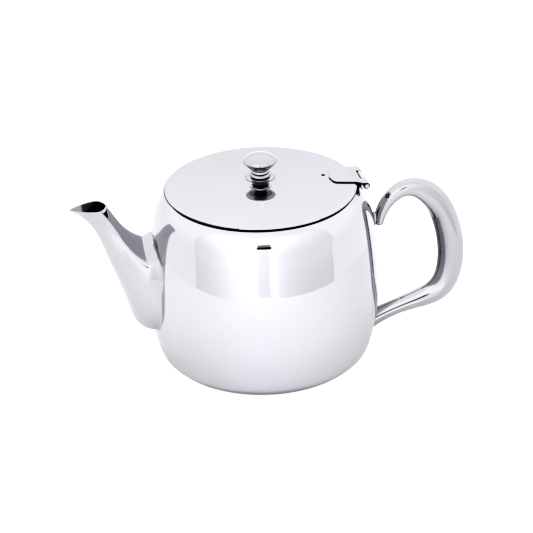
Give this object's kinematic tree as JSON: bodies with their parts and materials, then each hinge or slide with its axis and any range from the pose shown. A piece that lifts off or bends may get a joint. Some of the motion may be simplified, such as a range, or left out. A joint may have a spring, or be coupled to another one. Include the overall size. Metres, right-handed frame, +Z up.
{
  "type": "teapot",
  "caption": "Polished steel teapot: rounded drum body, tapering swept spout, hollow loop handle and a flat lid with a tiered knob, hinged beside the handle.",
  "frame": {"origin": "centre of the flat underside, on the table plane and on the body's axis", "axes": "+Z up along the body's axis, +X towards the handle, -X towards the spout; the lid hinge axis is parallel to Y"},
  "size_m": [0.2144, 0.125, 0.1188],
  "materials": {
    "polished_steel": "mirror polished stainless steel",
    "lid_steel": "mirror polished stainless steel with a faint haze",
    "satin_steel": "satin stainless steel"
  },
  "bodies": {
    "pot": {"body_shell": "polished_steel", "spout": "polished_steel", "handle": "polished_steel", "hinge_bracket": "polished_steel", "hinge_pin": "satin_steel"},
    "lid": {"lid_panel": "lid_steel", "lid_ring": "satin_steel", "hinge_leaf": "lid_steel", "knob_foot": "polished_steel", "knob_flange": "polished_steel", "knob_stem": "polished_steel", "knob_cap": "polished_steel", "knob_washer": "satin_steel", "knob_screw": "satin_steel"}
  },
  "joints": [
    {"name": "lid_hinge", "type": "hinge", "parent": "pot", "child": "lid", "pos_m": [0.0552, 0, 0.0985], "axis": [0, 1, 0], "range_deg": [0, 105]}
  ]
}
